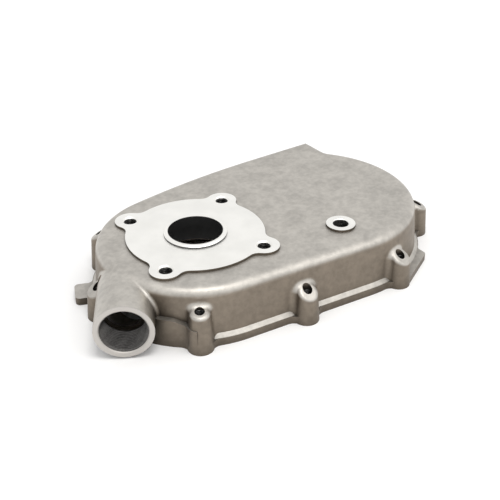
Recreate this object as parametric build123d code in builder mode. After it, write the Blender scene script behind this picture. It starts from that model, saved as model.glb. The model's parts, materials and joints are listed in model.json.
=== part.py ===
from build123d import *
import os
from math import acos, asin, cos, degrees, hypot, radians, sin, tan

# Half of a small reduction gearbox, cast in one piece and machined, open below.
# Frame: origin on the seal bore axis at the face of the mounting pad, X along the line of
# centres towards the big end, Y towards the straight rear side, Z up out of the pad.

# Outline of the joint flange
centre_distance = 90.0
small_radius = 67.0
big_radius = 75.5
end_past_centre = 58.0
corner_radius = 11.5
neck_radius = 3.0

# Shell
case_height = 36.5
wall = 4.0
top_wall = 4.0
draft_angle = 5.0
shoulder_radius = 6.0
inner_radius = 3.0

# Joint flange and the sloped skirt above it
flange_thickness = 5.0
flange_ledge = 2.0
flange_blend = 7.0
lug_side_blend = 5.0
skirt_angle = 45.0
skirt_inset = 0.4
skirt_overlap = 0.3

# Screw bosses round the rim, their tops sloping outwards
boss_radius = 8.0
boss_draft_angle = 4.5
boss_edge = 2.5
boss_blend = 4.0
boss_foot_step = 0.1
low_boss_height = 21.8
low_boss_top_angle = 36.0
tall_boss_height = 25.7
tall_boss_top_angle = 12.0
steep_boss_height = 26.0
end_boss_height = 22.8
end_boss_top_angle = 28.0
screw_diameter = 6.0

# Their places, by angle round either end, or by distance along a side
spout_boss_angle = 176.5
ledge_boss_angle = 239.7
steep_boss_angle = 126.5
front_boss_distance = 40.0
lug_boss_angle = -78.4
end_boss_angle = -25.2
end_boss_stand = 1.9
rear_end_boss_angle = 21.0
rear_boss_places = (22.0, 72.0, 124.0)

# Machined mounting pad round the seal bore, with four ears
pad_thickness = 1.5
pad_radius = 43.5
pad_circle = 90.0
pad_start_angle = 35.5
ear_count = 4
ear_radius = 9.7
ear_blend = 7.0
pad_screw_diameter = 8.0
pad_screw_depth = 14.0
pad_screw_chamfer = 0.9
pad_boss_diameter = 17.0
pad_boss_depth = 13.0

# Seal bore with its raised lip, and the bearing seats behind it and in the big end
seal_diameter = 34.5
lip_diameter = 39.6
lip_height = 1.8
lip_edge = 0.9
bearing_diameter = 47.0
blind_diameter = 40.0
bearing_depth = 14.0
hub_wall = 6.0
seat_edge = 0.8

# Ribs under the case top
rib_width = 4.0
rib_depth = 9.0
rib_draft_angle = 2.0
centre_rib_angles = (0.0, 180.0)
big_end_rib_angles = (-60.0, 60.0)

# Small plug boss on the case top
plug_x = 81.1
plug_y = -43.3
plug_boss_diameter = 18.6
plug_diameter = 10.0
plug_chamfer = 0.4

# Threaded spout, its axis level with the joint face
spout_angle = 240.0
spout_inset = 24.0
spout_stand = 6.5
spout_top_gap = 0.3
spout_foot_gap = 1.4
spout_wall = 3.4
spout_blend = 2.0
spout_thread_length = 22.0
spout_shoulder = 2.0
spout_chamfer = 0.6

# Raised stretch of the flange between the spout and the next boss
ledge_angle = 224.5
ledge_height = 18.4
ledge_low_height = 16.4
ledge_run = 12.0
ledge_fall = 8.5
ledge_wrap = 9.0

# Lugs standing out of the flange, one at each end
small_lug_angle = 157.5
small_lug_width = 16.5
small_lug_reach = 77.7
small_lug_corner = 3.0
big_lug_x = 137.6
big_lug_y = -62.8
big_lug_depth = 7.0
big_lug_corner = 2.2

# Distance within which a point counts as standing at a place
match_gap = 0.001

# Sizes that follow from the ones above: the big end, and the spout within the case's height
end_reach = centre_distance + end_past_centre
spout_diameter = case_height - spout_top_gap - spout_foot_gap
spout_height = spout_foot_gap + spout_diameter / 2
spout_thread_diameter = spout_diameter - 2 * spout_wall
spout_core_diameter = spout_thread_diameter - 2 * spout_shoulder
spout_offset = small_radius - spout_inset
spout_reach = small_radius + spout_stand

# Level planes of the casting, from the pad face down to the joint face
pad_top = Plane.XY
lip_top = pad_top.offset(lip_height)
case_top = pad_top.offset(-pad_thickness)
joint_face = case_top.offset(-case_height)
flange_top = joint_face.offset(flange_thickness)
inner_top = case_top.offset(-top_wall)
seat_mouth = inner_top.offset(-bearing_depth)


def front_lean():
    """Angle by which the front side spreads towards the big end, in radians."""
    return asin((big_radius - small_radius) / centre_distance)


def rear_bow(inset):
    """Radius of the rear side, tangent to the small end and to the big end's flat."""
    small = small_radius - inset
    big = big_radius - inset
    return (centre_distance**2 / (big - small) + big + small) / 2


def outline_edges(inset):
    """Closed outline of the case, every side moved inwards by inset."""
    small = small_radius - inset
    big = big_radius - inset
    reach = end_reach - inset
    lean = front_lean()
    small_front = (-small * sin(lean), -small * cos(lean))
    big_front = (centre_distance - big * sin(lean), -big * cos(lean))
    neck_angle = acos((reach - centre_distance) / big)
    neck = (reach, big * sin(neck_angle))
    rear_start = (centre_distance, big)
    bow_turn = asin(centre_distance / (rear_bow(inset) - small))
    rear_end = (-small * sin(bow_turn), small * cos(bow_turn))
    Line(small_front, big_front)
    ThreePointArc(big_front, (centre_distance + big, 0), neck)
    Line(neck, (reach, big))
    Line((reach, big), rear_start)
    TangentArc(rear_start, rear_end, tangent=(-1, 0))
    ThreePointArc(rear_end, (-small, 0), small_front)


def case_outline(inset):
    """Face of the case outline, with its hollow neck and its square corner rounded."""
    reach = end_reach - inset
    with BuildSketch() as outline:
        with BuildLine():
            outline_edges(inset)
        make_face()
        ends = outline.vertices().filter_by_position(Axis.X, reach - match_gap, reach + match_gap)
        neck, corner = ends.sort_by(Axis.Y)
        fillet(neck, neck_radius + inset)
        fillet(corner, corner_radius - inset)
    return outline.sketch


def on_circle(centre_x, radius, angle):
    """Place on the outline round an end: its point and its outward angle."""
    turn = radians(angle)
    return (centre_x + radius * cos(turn), radius * sin(turn), angle)


def on_front(distance):
    """Place on the front side, distance along it from the small end."""
    outwards = -90 - degrees(front_lean())
    x, y, angle = on_circle(0, small_radius, outwards)
    return (x + distance * cos(front_lean()), y - distance * sin(front_lean()), angle)


def on_rear(x):
    """Place on the rear side, which is bowed before the big end and straight after it."""
    bow = rear_bow(0)
    turn = asin(max(centre_distance - x, 0) / bow)
    return (x, big_radius - bow * (1 - cos(turn)), 90 + degrees(turn))


def standing(places):
    """Locations on the joint face, X pointing out of the case at each place."""
    return [Location((x, y, joint_face.origin.Z), (0, 0, angle)) for x, y, angle in places]


spout_boss_place = on_circle(0, small_radius, spout_boss_angle)
ledge_boss_place = on_circle(0, small_radius, ledge_boss_angle)
steep_boss_place = on_circle(0, small_radius, steep_boss_angle)
lug_boss_place = on_circle(centre_distance, big_radius, lug_boss_angle)
end_boss_place = on_circle(centre_distance, big_radius + end_boss_stand, end_boss_angle)
rear_end_boss_place = on_circle(centre_distance, big_radius, rear_end_boss_angle)
low_places = [on_front(front_boss_distance), lug_boss_place, rear_end_boss_place]
low_places += [on_rear(x) for x in rear_boss_places]
boss_places = [spout_boss_place, ledge_boss_place, steep_boss_place, end_boss_place] + low_places
boss_foot = boss_radius - flange_thickness * tan(radians(boss_draft_angle)) - boss_foot_step


def on_boss_foot(vertex, places):
    """True where the joint outline runs into the foot of a screw boss at one of the places."""
    for x, y, angle in places:
        across = (vertex.X - x, vertex.Y - y)
        outwards = across[0] * cos(radians(angle)) + across[1] * sin(radians(angle))
        if abs(hypot(*across) - boss_foot) < match_gap and outwards < boss_foot / 2:
            return True
    return False


def on_small_lug(vertex):
    """True on either side line of the small end's lug."""
    turn = radians(small_lug_angle)
    across = abs(vertex.Y * cos(turn) - vertex.X * sin(turn))
    return abs(across - small_lug_width / 2) < match_gap


def on_big_lug(vertex):
    """True where the end of the big end's lug meets the round flange."""
    from_centre = hypot(vertex.X - centre_distance, vertex.Y)
    from_lug = hypot(vertex.X - big_lug_x, vertex.Y - big_lug_y)
    return from_lug < big_lug_depth and abs(from_centre - big_radius) < match_gap


def on_pad_circle(vertex):
    """True where an ear leaves the round of the pad."""
    return abs(hypot(vertex.X, vertex.Y) - pad_radius) < match_gap


def rim_boss(height, slope):
    """Drafted boss, its top sloping down and outwards, the top's edge rounded."""
    with BuildPart() as boss:
        with BuildSketch():
            Circle(boss_radius)
        extrude(amount=height + boss_radius, taper=boss_draft_angle)
        lean = (sin(radians(slope)), 0, cos(radians(slope)))
        split(bisect_by=Plane(origin=(0, 0, height), z_dir=lean), keep=Keep.BOTTOM)
        fillet(boss.faces().sort_by(Axis.Z)[-1].edges(), boss_edge)
    return boss.part


low_boss = rim_boss(low_boss_height, low_boss_top_angle)
tall_boss = rim_boss(tall_boss_height, tall_boss_top_angle)
steep_boss = rim_boss(steep_boss_height, low_boss_top_angle)
end_boss = rim_boss(end_boss_height, end_boss_top_angle)
flange_outline = case_outline(0)
skirt_outline = case_outline(skirt_inset)
wall_outline = case_outline(flange_ledge)
inner_outline = case_outline(flange_ledge + wall)
skirt_lean = tan(radians(skirt_angle)) - tan(radians(draft_angle))
skirt_rise = (flange_ledge - skirt_inset + flange_thickness * tan(radians(draft_angle))) / skirt_lean

# Plane of the spout's mouth, Z pointing out of it
spout_way = (cos(radians(spout_angle)), sin(radians(spout_angle)))
spout_side = (-spout_way[1], spout_way[0])
mouth_x = spout_reach * spout_way[0] - spout_offset * spout_side[0]
mouth_y = spout_reach * spout_way[1] - spout_offset * spout_side[1]
mouth_z = joint_face.origin.Z + spout_height
spout_mouth = Plane(
    origin=(mouth_x, mouth_y, mouth_z), x_dir=(*spout_side, 0), z_dir=(*spout_way, 0)
)

# Big end's lug seen from above, from the screw boss beside it to its own end
with BuildSketch() as big_lug:
    with Locations(lug_boss_place[:2]):
        Circle(boss_foot)
    with Locations((big_lug_x, big_lug_y), (big_lug_x, big_lug_y + big_lug_depth)):
        Circle(big_lug_corner)
    make_hull(mode=Mode.REPLACE)

# Joint flange seen from above, spreading round each boss and out to the two lugs
with BuildSketch(joint_face) as flange:
    add(flange_outline)
    Rectangle(
        small_lug_reach,
        small_lug_width,
        rotation=small_lug_angle,
        align=(Align.MIN, Align.CENTER),
    )
    fillet(flange.vertices().filter_by(on_small_lug), small_lug_corner)
    add(big_lug.sketch)
    fillet(flange.vertices().filter_by(on_big_lug), big_lug_corner)
    with Locations(*standing(boss_places)):
        Circle(boss_foot)
    for places, blend in (([spout_boss_place], lug_side_blend), (boss_places[1:], flange_blend)):
        feet = flange.vertices().filter_by(lambda vertex: on_boss_foot(vertex, places))
        fillet(feet, blend)

# Raised stretch of the flange, level beside the spout, falling a little and wrapping the next boss
ledge_way = (cos(radians(ledge_angle)), sin(radians(ledge_angle)))
ledge_side = Plane(
    origin=joint_face.origin, x_dir=(-ledge_way[1], ledge_way[0], 0), z_dir=(*ledge_way, 0)
)
ledge_end = ledge_fall + ledge_wrap
with BuildPart() as ledge:
    extrude(flange.sketch, amount=ledge_height)
    with BuildSketch(joint_face):
        Circle(small_radius - flange_ledge - wall / 2)
    extrude(amount=ledge_height, mode=Mode.SUBTRACT)
    with BuildSketch(ledge_side):
        with BuildLine():
            Polyline((-ledge_run, 0), (-ledge_run, ledge_height), (0, ledge_height))
            Spline(
                (0, ledge_height), (ledge_fall, ledge_low_height), tangents=((1, 0), (1, 0))
            )
            Polyline((ledge_fall, ledge_low_height), (ledge_end, ledge_low_height), (ledge_end, 0))
            Line((ledge_end, 0), (-ledge_run, 0))
        make_face()
    extrude(amount=2 * small_radius, mode=Mode.INTERSECT)

# Room inside the casting, open at the joint face
with BuildPart() as hollow:
    with BuildSketch(joint_face):
        add(inner_outline)
    extrude(amount=case_height - top_wall, taper=draft_angle)
    fillet(hollow.faces().sort_by(Axis.Z)[-1].edges(), inner_radius)

# Ribs from wall to wall under the case top, through the hubs
with BuildPart() as ribs:
    with BuildSketch(inner_top):
        with PolarLocations(0, ear_count, start_angle=pad_start_angle):
            Rectangle(end_reach, rib_width, align=(Align.MIN, Align.CENTER))
        rib_angles = centre_rib_angles + big_end_rib_angles
        with Locations([Location((centre_distance, 0, 0), (0, 0, angle)) for angle in rib_angles]):
            Rectangle(2 * end_reach, rib_width, align=(Align.MIN, Align.CENTER))
    extrude(amount=-rib_depth, taper=rib_draft_angle)
    add(hollow.part, mode=Mode.INTERSECT)

with BuildPart() as gear_case:
    # Drafted outer wall with its rounded shoulder
    with BuildSketch(joint_face):
        add(wall_outline)
    extrude(amount=case_height, taper=draft_angle)
    fillet(gear_case.faces().sort_by(Axis.Z)[-1].edges(), shoulder_radius)

    # Spout and screw bosses, blended into the wall, and the boss that stands beside the spout
    with BuildSketch(spout_mouth):
        Circle(spout_diameter / 2)
    extrude(amount=-spout_reach)
    fillet(gear_case.edges(Select.NEW), spout_blend)
    for boss, places in (
        (low_boss, low_places),
        (tall_boss, [ledge_boss_place]),
        (steep_boss, [steep_boss_place]),
        (end_boss, [end_boss_place]),
    ):
        with Locations(*standing(places)):
            add(boss)
        seams = gear_case.edges(Select.NEW)
        fillet(seams.filter_by(lambda seam: seam.center().Z > flange_top.origin.Z), boss_blend)
    with Locations(*standing([spout_boss_place])):
        add(low_boss)

    # Joint flange with its raised stretch, and the sloped skirt from it up to the wall
    extrude(flange.sketch, amount=flange_thickness)
    with BuildSketch(flange_top):
        add(skirt_outline)
    extrude(amount=skirt_rise + skirt_overlap, taper=skirt_angle)
    add(ledge.part)

    # Machined pad with its ears, the plug boss and the lip of the seal bore
    with BuildSketch(case_top) as pad:
        Circle(pad_radius)
        with PolarLocations(pad_circle / 2, ear_count, start_angle=pad_start_angle):
            Circle(ear_radius)
        fillet(pad.vertices().filter_by(on_pad_circle), ear_blend)
        with Locations((plug_x, plug_y)):
            Circle(plug_boss_diameter / 2)
    extrude(amount=pad_thickness)
    with BuildSketch(pad_top):
        Circle(lip_diameter / 2)
    extrude(amount=lip_height)
    chamfer(gear_case.faces().sort_by(Axis.Z)[-1].edges(), lip_edge)

    # Room inside, with the ribs, hubs and screw bosses that stand in it
    add(hollow.part, mode=Mode.SUBTRACT)
    add(ribs.part)
    with BuildSketch(inner_top):
        Circle(bearing_diameter / 2 + hub_wall)
        with Locations((centre_distance, 0)):
            Circle(blind_diameter / 2 + hub_wall)
    extrude(amount=-bearing_depth, taper=rib_draft_angle)
    with BuildSketch(inner_top):
        with PolarLocations(pad_circle / 2, ear_count, start_angle=pad_start_angle):
            Circle(pad_boss_diameter / 2)
        with Locations((plug_x, plug_y)):
            Circle(plug_boss_diameter / 2)
    extrude(amount=-pad_boss_depth, taper=rib_draft_angle)

    # Bearing seats and seal bore
    with BuildSketch(seat_mouth):
        Circle(bearing_diameter / 2)
        with Locations((centre_distance, 0)):
            Circle(blind_diameter / 2)
    extrude(amount=bearing_depth, mode=Mode.SUBTRACT)
    with Locations(lip_top):
        Hole(seal_diameter / 2)

    # Threaded holes in the pad, in the plug boss and down through the rim
    with Locations(pad_top):
        with PolarLocations(pad_circle / 2, ear_count, start_angle=pad_start_angle):
            CounterSinkHole(
                pad_screw_diameter / 2,
                pad_screw_diameter / 2 + pad_screw_chamfer,
                depth=pad_screw_depth,
                counter_sink_angle=90,
            )
        with Locations((plug_x, plug_y)):
            CounterSinkHole(
                plug_diameter / 2, plug_diameter / 2 + plug_chamfer, counter_sink_angle=90
            )
    with Locations([(x, y, pad_top.origin.Z) for x, y, angle in boss_places]):
        Hole(screw_diameter / 2)

    # Spout's thread and the narrower passage that opens it into the room
    with Locations(spout_mouth):
        CounterSinkHole(
            spout_thread_diameter / 2,
            spout_thread_diameter / 2 + spout_chamfer,
            depth=spout_thread_length,
            counter_sink_angle=90,
        )
        Hole(spout_core_diameter / 2, depth=spout_reach)

    mouths = gear_case.edges().filter_by(GeomType.CIRCLE).filter_by(
        lambda edge: abs(edge.center().Z - seat_mouth.origin.Z) < match_gap
    )
    chamfer(mouths.group_by(SortBy.RADIUS)[0] + mouths.group_by(SortBy.RADIUS)[1], seat_edge)

os.makedirs("parts", exist_ok=True)
gear_case.part.label = "gear_case"
export_step(gear_case.part, "parts/gear_case.step")
print("valid", gear_case.part.is_valid, "volume", round(gear_case.part.volume))
print(gear_case.part.bounding_box())
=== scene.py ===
import json
from math import radians

import bpy
import numpy as np
from mathutils import Matrix, Vector


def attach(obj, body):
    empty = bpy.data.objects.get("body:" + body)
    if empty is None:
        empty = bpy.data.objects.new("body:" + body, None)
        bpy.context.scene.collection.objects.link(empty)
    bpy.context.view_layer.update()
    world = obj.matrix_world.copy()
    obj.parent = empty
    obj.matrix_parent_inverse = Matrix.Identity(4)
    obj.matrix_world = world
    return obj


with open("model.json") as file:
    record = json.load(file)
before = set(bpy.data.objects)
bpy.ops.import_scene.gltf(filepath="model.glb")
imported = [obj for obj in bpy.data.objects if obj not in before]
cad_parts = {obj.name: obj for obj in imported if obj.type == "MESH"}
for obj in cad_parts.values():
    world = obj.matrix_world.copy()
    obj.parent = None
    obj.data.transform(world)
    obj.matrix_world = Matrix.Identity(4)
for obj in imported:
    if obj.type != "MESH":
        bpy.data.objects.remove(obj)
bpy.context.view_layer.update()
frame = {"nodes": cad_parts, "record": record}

mm = 0.001

# The casting's own sizes, in millimetres, in the frame of its pad face
gearCase = {
    "jointDepth": 38.0,
    "padScrews": {"circle": 90.0, "turn": 35.5, "count": 4},
    "bearingRadius": 23.5,
    "plug": (81.1, -43.3),
    "spoutAngle": 240.0,
    "spoutOffset": 43.0,
    "spoutReach": 73.5,
    "spoutHeight": 18.8,
    "spoutRadius": 17.4,
}

# Screw threads cut in the casting: outside diameter, pitch, depth of the threaded stretch
threads = {
    "pad": {"diameter": 8.0, "pitch": 1.25, "top": -0.9, "depth": 12.5, "around": 40, "perTurn": 8},
    "plug": {"diameter": 10.0, "pitch": 1.0, "top": -0.4, "depth": 16.0, "around": 40, "perTurn": 8},
    "rim": {"diameter": 6.0, "pitch": 1.0, "depth": 16.0, "around": 32, "perTurn": 8},
    "spout": {"diameter": 28.0, "pitch": 1.5, "top": -0.6, "depth": 19.5, "around": 128, "perTurn": 10},
}

# The form that all the threads share; lengths in millimetres, the rest as shares of the pitch
threadForm = {
    "rootGap": 0.1,  # clear of the hole's wall
    "sunk": 0.15,  # the sleeve's back, inside the wall
    "height": 0.54,
    "steepness": 1.6,
    "rootFlat": 0.2,
    "fade": 0.7,
    "creaseAngle": 35,
}


# A closed ring of surface: the grid's rows run round the axis and its columns round the section
def ringMesh(name, points):
    rows, columns = points.shape[:2]
    index = np.arange(rows * columns).reshape(rows, columns)
    nextRow = np.roll(index, -1, axis=0)
    nextColumn = np.roll(index, -1, axis=1)
    corner = np.roll(nextRow, -1, axis=1)
    faces = np.stack([index, nextColumn, corner, nextRow], axis=-1).reshape(-1, 4)
    mesh = bpy.data.meshes.new(name)
    mesh.from_pydata(points.reshape(-1, 3).tolist(), [], faces.tolist())
    mesh.update()
    return mesh


# Screw thread: the wall's radius goes in and out with the height less the turn's share of the
# pitch, as a triangle wave cut flat at its crests and roots, fading out at both ends.
def threadSleeve(name, thread, mouth, axis, material):
    major = thread["diameter"] / 2
    pitch = thread["pitch"]
    steps = int(thread["depth"] / pitch * thread["perTurn"])
    around = np.linspace(0, 2 * np.pi, thread["around"], endpoint=False)[:, None]
    down = np.linspace(0, thread["depth"], steps)[None, :]
    phase = down / pitch - around / (2 * np.pi)
    wave = np.abs(2 * (phase - np.floor(phase)) - 1)
    ridge = np.clip(threadForm["steepness"] * wave - threadForm["rootFlat"], 0, 1)
    fade = np.clip(np.minimum(down, thread["depth"] - down) / (threadForm["fade"] * pitch), 0, 1)
    inner = major - threadForm["rootGap"] - threadForm["height"] * pitch * ridge * fade
    outer = np.full((thread["around"], 2), major + threadForm["sunk"])
    radius = np.concatenate([inner, outer], axis=1)
    depth = np.concatenate([down, [[thread["depth"], 0.0]]], axis=1) + 0 * around
    local = np.stack([radius * np.cos(around), radius * np.sin(around), -depth], axis=-1)
    turn = Vector(axis).to_track_quat("Z", "Y").to_matrix()
    points = (local @ np.array(turn).T + np.array(mouth)) * mm
    piece = bpy.data.objects.new(name, ringMesh(name, points))
    bpy.context.scene.collection.objects.link(piece)
    piece.data.materials.append(material)
    piece.data.polygons.foreach_set("use_smooth", [True] * len(piece.data.polygons))
    piece.data.set_sharp_from_angle(angle=radians(threadForm["creaseAngle"]))
    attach(piece, "root")


# Short hand for building a material: each call adds its nodes and returns the output
class Shades:
    def __init__(self, name):
        self.material = bpy.data.materials.new(name)
        self.material.use_nodes = True
        self.tree = self.material.node_tree
        self.surface = self.tree.nodes["Principled BSDF"]
        self.place = self.tree.nodes.new("ShaderNodeTexCoord")

    def feed(self, socket, value):
        if isinstance(value, bpy.types.NodeSocket):
            self.tree.links.new(value, socket)
        else:
            socket.default_value = value

    def math(self, kind, first, second=0.0):
        node = self.tree.nodes.new("ShaderNodeMath")
        node.operation = kind
        self.feed(node.inputs[0], first)
        self.feed(node.inputs[1], second)
        return node.outputs[0]

    def ramp(self, value, low, high, start=0.0, end=1.0):
        node = self.tree.nodes.new("ShaderNodeMapRange")
        node.interpolation_type = "SMOOTHSTEP"
        self.feed(node.inputs["Value"], value)
        for socket, number in zip(("From Min", "From Max", "To Min", "To Max"), (low, high, start, end)):
            self.feed(node.inputs[socket], number)
        return node.outputs[0]

    def split(self, vector):
        node = self.tree.nodes.new("ShaderNodeSeparateXYZ")
        self.tree.links.new(vector, node.inputs[0])
        return node.outputs

    def noise(self, scale, detail, roughness):
        node = self.tree.nodes.new("ShaderNodeTexNoise")
        self.tree.links.new(self.place.outputs["Object"], node.inputs["Vector"])
        self.feed(node.inputs["Scale"], scale)
        self.feed(node.inputs["Detail"], detail)
        self.feed(node.inputs["Roughness"], roughness)
        return node.outputs["Fac"]

    def mix(self, amount, first, second):
        node = self.tree.nodes.new("ShaderNodeMix")
        node.data_type = "RGBA"
        self.feed(node.inputs["Factor"], amount)
        for socket, colour in zip((6, 7), (first, second)):
            self.feed(node.inputs[socket], colour)
        return node.outputs[2]

    def scale(self, colour, amount):
        node = self.tree.nodes.new("ShaderNodeVectorMath")
        node.operation = "SCALE"
        if isinstance(colour, bpy.types.NodeSocket):
            self.tree.links.new(colour, node.inputs[0])
        else:
            node.inputs[0].default_value = colour[:3]
        self.feed(node.inputs["Scale"], amount)
        return node.outputs[0]

    def alongWay(self, place, way):
        parts = [self.math("MULTIPLY", place[axis], float(way[axis])) for axis in range(3)]
        return self.math("ADD", self.math("ADD", parts[0], parts[1]), parts[2])

    def radius(self, first, second):
        squares = [self.math("MULTIPLY", value, value) for value in (first, second)]
        return self.math("SQRT", self.math("ADD", *squares))

    # Painted shade: darkens a colour in corners, where ambient occlusion finds other surfaces near
    def corner(self, depth, shade):
        node = self.tree.nodes.new("ShaderNodeAmbientOcclusion")
        self.feed(node.inputs["Distance"], depth)
        return self.ramp(node.outputs["AO"], 0.25, 0.85, shade, 1.0)

    def bump(self, height, strength, distance):
        node = self.tree.nodes.new("ShaderNodeBump")
        self.feed(node.inputs["Height"], height)
        self.feed(node.inputs["Strength"], strength)
        self.feed(node.inputs["Distance"], distance)
        return node.outputs[0]


# Finish of the casting, with painted shade: the wall colour, the bore colour and the corner values
# darken the same metal where less light falls. Each noise is its scale, detail and roughness
castFinishAndShade = {
    "top": (0.540, 0.515, 0.475, 1),
    # painted shade: the upright walls, the same metal as the top, coloured darker
    "wall": (0.232, 0.197, 0.159, 1),
    "machined": (0.950, 0.940, 0.905, 1),
    "mouth": (0.540, 0.515, 0.485, 1),
    # painted shade: near-black for the machined walls inside the seal bore
    "bore": (0.09, 0.09, 0.09, 1),
    "roughness": 0.50,
    "machinedRoughness": 0.46,
    "mottle": (260, 5, 0.6),
    "grain": (1500, 3, 0.6),
    "cloud": (55, 3, 0.5),
    "cornerDepth": 22 * mm,
    "cornerShade": 0.35,
    "bumpStrength": 0.3,
    "bumpHeight": 0.25 * mm,
    "machinedBump": 0.12,
}

# The thread's dark and bright streaks, both painted shade: the cut metal is coloured near-black
# for the shade inside its hole, the streaks varying its tone at random
threadFinishAndShade = {
    "hole": ((0.02, 0.02, 0.019, 1), (0.055, 0.054, 0.052, 1)),
    "spout": ((0.10, 0.096, 0.092, 1), (0.14, 0.135, 0.13, 1)),
    "streak": (900, 2, 0.5),
    "roughness": 0.35,
}


def spoutAxis():
    turn = radians(gearCase["spoutAngle"])
    way = np.array((np.cos(turn), np.sin(turn)))
    return way, np.array((-way[1], way[0]))


def castAluminium():
    shades = Shades("castAluminium")
    place = shades.split(shades.place.outputs["Object"])
    facing = shades.split(shades.place.outputs["Normal"])[2]
    mottle = shades.noise(*castFinishAndShade["mottle"])
    grain = shades.noise(*castFinishAndShade["grain"])
    cloud = shades.noise(*castFinishAndShade["cloud"])
    # blasted skin with random mottle, and painted shade: the upright walls are coloured darker than the
    # top, though the metal is the same, and the corners are darkened where other surfaces stand near
    level = shades.ramp(facing, 0.1, 0.6)
    castWithPaintedShade = shades.mix(level, castFinishAndShade["wall"], castFinishAndShade["top"])
    spots = shades.ramp(mottle, 0.3, 0.7, 0.9, 1.08)
    shadeShift = shades.math("ADD", spots, shades.ramp(cloud, 0.35, 0.65, -0.06, 0.06))
    corner = shades.corner(castFinishAndShade["cornerDepth"], castFinishAndShade["cornerShade"])
    castWithPaintedShade = shades.scale(castWithPaintedShade, shades.math("MULTIPLY", shadeShift, corner))
    # machined faces: whatever stands at the pad's height and isn't upright, and the joint face
    padLevel = shades.math("GREATER_THAN", place[2], -0.95 * mm)
    padFace = shades.math("MULTIPLY", padLevel, shades.math("GREATER_THAN", facing, 0.3))
    low = shades.math("LESS_THAN", place[2], (0.02 - gearCase["jointDepth"]) * mm)
    jointFace = shades.math("MULTIPLY", low, shades.math("LESS_THAN", facing, -0.9))
    machined = shades.math("MAXIMUM", padFace, jointFace)
    # the spout's mouth, within its radius round its own axis
    way, side = spoutAxis()
    along = shades.alongWay(place, (*way, 0.0))
    across = shades.math("ADD", shades.alongWay(place, (*side, 0.0)), gearCase["spoutOffset"] * mm)
    above = shades.math("ADD", place[2], (gearCase["jointDepth"] - gearCase["spoutHeight"]) * mm)
    fromAxis = shades.radius(across, above)
    nearAxis = shades.math("LESS_THAN", fromAxis, (gearCase["spoutRadius"] + 0.1) * mm)
    mouth = shades.math("GREATER_THAN", along, (gearCase["spoutReach"] - 0.65) * mm)
    mouth = shades.math("MULTIPLY", mouth, nearAxis)
    # painted shade: the upright walls of the seal bore and the bearing seat behind it are machined
    # metal, coloured near-black for the shade inside them
    upright = shades.math("LESS_THAN", shades.math("ABSOLUTE", facing), 0.3)
    boreRadius = (gearCase["bearingRadius"] + 0.1) * mm
    inBore = shades.math("LESS_THAN", shades.radius(place[0], place[1]), boreRadius)
    bore = shades.math("MULTIPLY", inBore, upright)
    polish = shades.scale(castFinishAndShade["machined"], shades.ramp(cloud, 0.3, 0.7, 0.96, 1.03))
    colour = shades.mix(machined, castWithPaintedShade, polish)
    colour = shades.mix(mouth, colour, castFinishAndShade["mouth"])
    colour = shades.mix(bore, colour, castFinishAndShade["bore"])
    shades.feed(shades.surface.inputs["Base Color"], colour)
    shades.feed(shades.surface.inputs["Metallic"], 1.0)
    rough = shades.ramp(machined, 0, 1, castFinishAndShade["roughness"], castFinishAndShade["machinedRoughness"])
    shades.feed(shades.surface.inputs["Roughness"], rough)
    height = shades.math("ADD", mottle, shades.math("MULTIPLY", grain, 0.5))
    smoother = shades.ramp(machined, 0, 1, 1.0, castFinishAndShade["machinedBump"])
    height = shades.math("MULTIPLY", height, smoother)
    bump = shades.bump(height, castFinishAndShade["bumpStrength"], castFinishAndShade["bumpHeight"])
    shades.feed(shades.surface.inputs["Normal"], bump)
    return shades.material


# Cut threads, coloured near-black as painted shade for the inside of their holes, with random streaks
def cutThread(name, dark, bright):
    shades = Shades(name)
    streak = shades.noise(*threadFinishAndShade["streak"])
    colour = shades.mix(shades.ramp(streak, 0.3, 0.7), dark, bright)
    shades.feed(shades.surface.inputs["Base Color"], colour)
    shades.feed(shades.surface.inputs["Metallic"], 1.0)
    shades.feed(shades.surface.inputs["Roughness"], threadFinishAndShade["roughness"])
    return shades.material


castMaterial = castAluminium()
holeThread = cutThread("holeThread", *threadFinishAndShade["hole"])
spoutThread = cutThread("spoutThread", *threadFinishAndShade["spout"])
casting = frame["nodes"]["gear_case"]
casting.data.materials.clear()
casting.data.materials.append(castMaterial)
print("casting finished")


def padHoles():
    screws = gearCase["padScrews"]
    for step in range(screws["count"]):
        turn = radians(screws["turn"] + 360 / screws["count"] * step)
        yield (screws["circle"] / 2 * np.cos(turn), screws["circle"] / 2 * np.sin(turn))


thread = threads["pad"]
for step, (x, y) in enumerate(padHoles()):
    threadSleeve(f"padThread{step + 1}", thread, (x, y, thread["top"]), (0, 0, 1), holeThread)
thread = threads["plug"]
threadSleeve("plugThread", thread, (*gearCase["plug"], thread["top"]), (0, 0, 1), holeThread)
thread = threads["spout"]
way, side = spoutAxis()
mouth = way * (gearCase["spoutReach"] + thread["top"]) - side * gearCase["spoutOffset"]
mouthHeight = gearCase["spoutHeight"] - gearCase["jointDepth"]
threadSleeve("spoutThread", thread, (*mouth, mouthHeight), (*way, 0), spoutThread)

# Where the rim threads begin, above the joint face: the low bosses, and those that stand higher
rimTop = 19.4
rimTops = {"rim_screw_ledge": 24.9, "rim_screw_steep": 23.6, "rim_screw_end": 21.0}
thread = threads["rim"]
for mount in frame["record"]["mounts"]:
    if mount["name"].startswith("rim_screw"):
        x, y, z = (value / mm for value in mount["pos_m"])
        top = rimTops.get(mount["name"], rimTop) - gearCase["jointDepth"]
        name = "rimThread" + mount["name"].replace("rim_screw", "")
        threadSleeve(name, thread, (x, y, top), (0, 0, 1), holeThread)
print("threads cut")

# Camera where the photograph was taken from, its lens as long as the photograph's
view = {
    "eye": (-0.2322, -0.3928, 0.2687),
    "target": (0.01565, -0.03675, 0.0),
    "roll": -0.27,
    "lens": 61.2,
    "sensor": 36.0,
}


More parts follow.
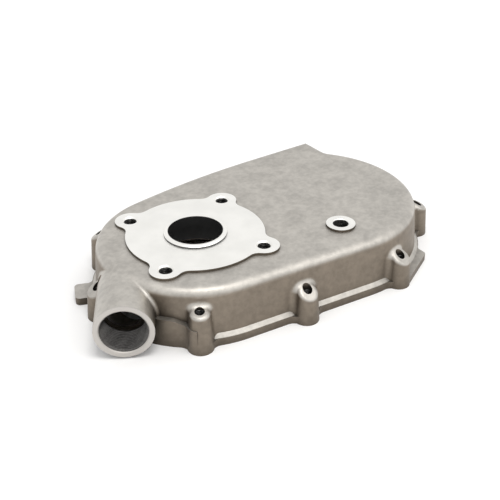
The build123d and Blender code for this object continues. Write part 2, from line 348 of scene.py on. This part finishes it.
# The turn that points a camera or a lamp from its place to what it looks at
def aimed(place, target):
    way = Vector(target) - Vector(place)
    return Matrix.Translation(place) @ way.to_track_quat("-Z", "Y").to_matrix().to_4x4()


camera = bpy.data.objects.new("camera", bpy.data.cameras.new("camera"))
bpy.context.scene.collection.objects.link(camera)
camera.data.lens = view["lens"]
camera.data.sensor_width = view["sensor"]
camera.matrix_world = aimed(view["eye"], view["target"]) @ Matrix.Rotation(radians(view["roll"]), 4, "Z")
camera.data.clip_start = 0.01
bpy.context.scene.camera = camera
print("camera placed")

# White table under a plain white sky
studio = {
    "floorSize": 6.0,
    "floorColour": (0.97, 0.97, 0.97, 1),
    "floorRoughness": 0.9,
    "glowStart": 0.18,
    "glowEnd": 0.42,
    "glow": 0.2,
    "world": 0.9,
}
floorMesh = bpy.data.meshes.new("floor")
half = studio["floorSize"] / 2
level = -gearCase["jointDepth"] * mm
corners = [(-half, -half, level), (half, -half, level), (half, half, level), (-half, half, level)]
floorMesh.from_pydata(corners, [], [(0, 1, 2, 3)])
floor = bpy.data.objects.new("floor", floorMesh)
bpy.context.scene.collection.objects.link(floor)
paint = Shades("whiteTable")
paint.surface.inputs["Base Color"].default_value = studio["floorColour"]
paint.surface.inputs["Roughness"].default_value = studio["floorRoughness"]
# the lamps' pool of light fades with the distance, and a glow of the table makes up for it there
table = paint.split(paint.place.outputs["Object"])
rays = paint.tree.nodes.new("ShaderNodeLightPath")
seen = paint.math("MAXIMUM", rays.outputs["Is Camera Ray"], rays.outputs["Is Glossy Ray"])
seen = paint.math("MAXIMUM", seen, rays.outputs["Is Transmission Ray"])
away = paint.ramp(paint.radius(table[0], table[1]), studio["glowStart"], studio["glowEnd"])
paint.surface.inputs["Emission Color"].default_value = (1, 1, 1, 1)
strength = paint.math("MULTIPLY", paint.math("MULTIPLY", seen, away), studio["glow"])
paint.feed(paint.surface.inputs["Emission Strength"], strength)
floorMesh.materials.append(paint.material)

world = bpy.data.worlds.new("studio")
bpy.context.scene.world = world
world.use_nodes = True
world.node_tree.nodes["Background"].inputs["Color"].default_value = (1, 1, 1, 1)
world.node_tree.nodes["Background"].inputs["Strength"].default_value = studio["world"]

# Two soft boxes, one above the front and one at the right, which bring out the rounded shoulders
lamps = {
    "frontTop": {
        "place": (-0.1, -0.3, 0.8),
        "aim": (0.02, -0.02, 0),
        "size": 0.32,
        "power": 2.5,
        "colour": (1.0, 0.985, 0.96),
    },
    "rightFront": {
        "place": (0.42, -0.6, 0.66),
        "aim": (0.05, 0, 0),
        "size": 0.5,
        "power": 1.2,
        "colour": (1.0, 0.985, 0.96),
    },
}
for name, lamp in lamps.items():
    data = bpy.data.lights.new(name, "AREA")
    data.shape = "SQUARE"
    data.size = lamp["size"]
    data.energy = lamp["power"]
    data.color = lamp["colour"]
    light = bpy.data.objects.new(name, data)
    bpy.context.scene.collection.objects.link(light)
    light.matrix_world = aimed(lamp["place"], lamp["aim"])
bpy.context.scene.view_settings.view_transform = "Standard"
print("studio lit")
